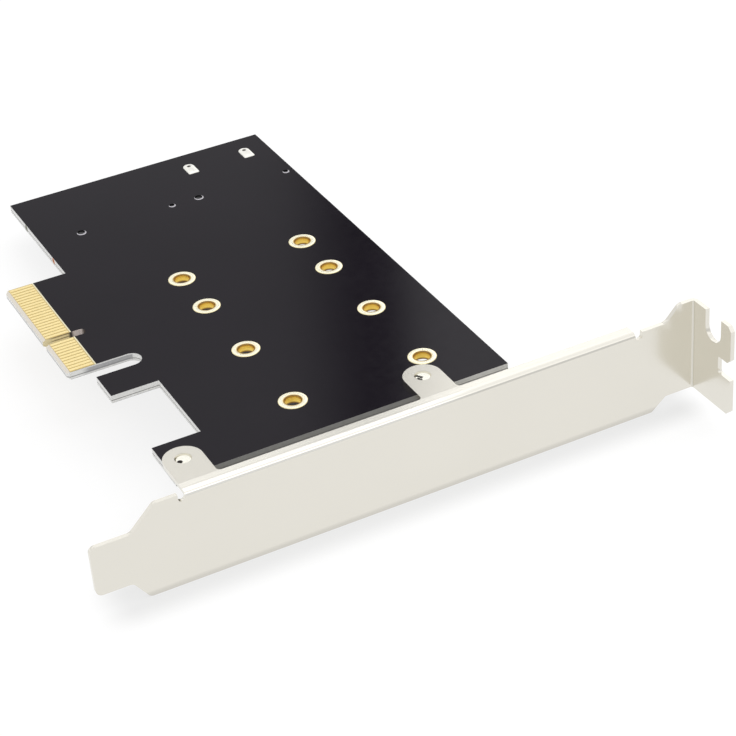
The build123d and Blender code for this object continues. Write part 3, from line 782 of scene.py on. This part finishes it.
def floor_material():
    """White floor that keeps the card's shadow, with a painted shadow under the middle of the board and in
    front of the plate, and can be seen through from below.
    """
    made, add = empty_material("white_floor")
    seen, glossy = ray_kinds(add)
    tone = mix_colour(add, seen, rgb(0.80, 0.80, 0.80), rgb(0.21, 0.21, 0.21))
    tone = mix_colour(add, glossy, tone, rgb(0.06, 0.06, 0.06))
    x, y = parts(add, millimetres(add))[:2]
    # Painted shadow: the floor darkens under the middle of the board and along the front of the plate.
    painted_shadow_under_board = both(add, between(add, x, 28.0, 54.0, 9.0), between(add, y, -50.0, 48.0, 8.0))
    painted_shadow_before_plate = both(add, between(add, x, -8.0, 100.0, 8.0), between(add, y, -60.0, -56.0, 6.5))
    shade = minus(add, 0.82, both(add, painted_shadow_before_plate, 0.16))
    shade = both(add, shade, inverse(add, both(add, painted_shadow_under_board, 0.96)))
    glow = plus(add, both(add, seen, shade), both(add, glossy, 0.93))
    plain = add("ShaderNodeBsdfDiffuse", {"Color": tone})
    light = add("ShaderNodeEmission", {"Color": rgb(1.0, 1.0, 1.0), "Strength": glow})
    lit = add("ShaderNodeAddShader", {0: plain.outputs[0], 1: light.outputs[0]})
    clear = add("ShaderNodeBsdfTransparent")
    behind = add("ShaderNodeNewGeometry").outputs["Backfacing"]
    shown = add("ShaderNodeMixShader", {0: behind, 1: lit.outputs[0], 2: clear.outputs[0]})
    add("ShaderNodeOutputMaterial", {0: shown.outputs[0]})
    return made


def floor_plane():
    """A wide plane just under the two edges that the card rests on."""
    gap = 0.015
    reach = 3000.0
    front, front_height = PLATE_FACE, BRACKET_LOW.z - gap
    back, back_height = PORT_HIGH.y, PORT_LOW.z - gap
    slope = (back_height - front_height) / (back - front)
    bm = bmesh.new()
    square = [(-reach, -reach), (reach, -reach), (reach, reach), (-reach, reach)]
    verts = [bm.verts.new((x * MM, y * MM, (front_height + slope * (y - front)) * MM)) for x, y in square]
    bm.faces.new(verts)
    obj = mesh_object("floor", bm)
    bpy.context.scene.collection.objects.link(obj)
    obj.data.materials.append(floor_material())


floor_plane()


# Light

def area_lamp(name, place, target, size, watts):
    """A square lamp that reflections don't show."""
    data = bpy.data.lights.new(name, "AREA")
    data.shape = "SQUARE"
    data.size = size
    data.energy = watts
    obj = bpy.data.objects.new(name, data)
    obj.location = place
    obj.rotation_euler = (Vector(target) - Vector(place)).to_track_quat("-Z", "Y").to_euler()
    obj.visible_glossy = False
    bpy.context.scene.collection.objects.link(obj)


area_lamp("key_lamp", (0.45, 0.10, 0.75), (0.04, 0.0, 0.0), 1.0, 4.0)
area_lamp("fill_lamp", (-0.5, -0.6, 0.6), (0.04, -0.02, 0.0), 1.0, 1.5)


def dark_gap(add, turn, rise):
    """1 in the dark gap between two of the studio's walls."""
    across = both(add, after(add, turn, 22.2, 25.0), before(add, turn, 25.6, 26.5))
    upward = both(add, after(add, rise, 15.0, 22.0), before(add, rise, 42.0, 50.0))
    return both(add, across, upward)


def wall_level(add, turn, rise, lean):
    """How bright the studio's walls are in gloss, as a plain level and its changes."""
    level = 0.96
    for share, change in (
        (both(add, after(add, turn, 25.5, 26.5), before(add, turn, 42.0, 58.0)), 0.30),
        (between(add, turn, 26.6, 29.0, 0.8), 0.18),
        (after(add, rise, 31.8, 34.2), 0.26),
        (between(add, rise, 24.0, 29.0, 4.0), -0.10),
        (before(add, rise, 8.0, 18.0), 0.20),
        (between(add, lean, 48.0, 62.0, 5.0), -0.30),
        (between(add, lean, 84.0, 120.0, 6.0), -0.12),
        (between(add, lean, 160.0, 180.0, 14.0), -0.30),
    ):
        level = plus(add, level, both(add, share, change))
    return level


def sky():
    """White to the eye. Gloss sees bright studio walls with one dark gap between two of them.

    Directions are in degrees: turn is from +Y towards +X, rise is above the horizon, and lean is
    from +Y upwards.
    """
    world = bpy.data.worlds.new("studio")
    bpy.context.scene.world = world
    world.use_nodes = True
    world.node_tree.nodes.clear()
    add = new_tree(world.node_tree)
    degrees = math.degrees(1.0)
    x, y, z = parts(add, add("ShaderNodeTexCoord").outputs["Generated"])
    turn = both(add, math_node(add, "ARCTAN2", x, y), degrees)
    rise = both(add, math_node(add, "ARCSINE", z), degrees)
    lean = both(add, math_node(add, "ARCTAN2", z, y), degrees)
    open_share = inverse(add, both(add, dark_gap(add, turn, rise), 0.92))
    mirrored = both(add, wall_level(add, turn, rise, lean), open_share)
    seen, glossy = ray_kinds(add)
    level = mix_colour(add, glossy, rgb(0.65, 0.65, 0.65), mirrored)
    level = mix_colour(add, seen, level, rgb(1.0, 1.0, 1.0))
    light = add("ShaderNodeBackground", {"Color": level, "Strength": 1.0})
    add("ShaderNodeOutputWorld", {0: light.outputs[0]})


sky()


# Camera, as the photograph was taken

def camera():
    data = bpy.data.cameras.new("camera")
    data.lens = 105.165
    data.sensor_width = 36.0
    data.clip_start = 0.01
    data.clip_end = 20.0
    obj = bpy.data.objects.new("camera", data)
    obj.location = (-0.08822, -0.33496, 0.21208)
    obj.rotation_euler = Euler((0.990955, 0.068552, -0.476048), "XYZ")
    bpy.context.scene.collection.objects.link(obj)
    bpy.context.scene.camera = obj


camera()
bpy.context.scene.view_settings.view_transform = "Standard"
bpy.context.view_layer.update()
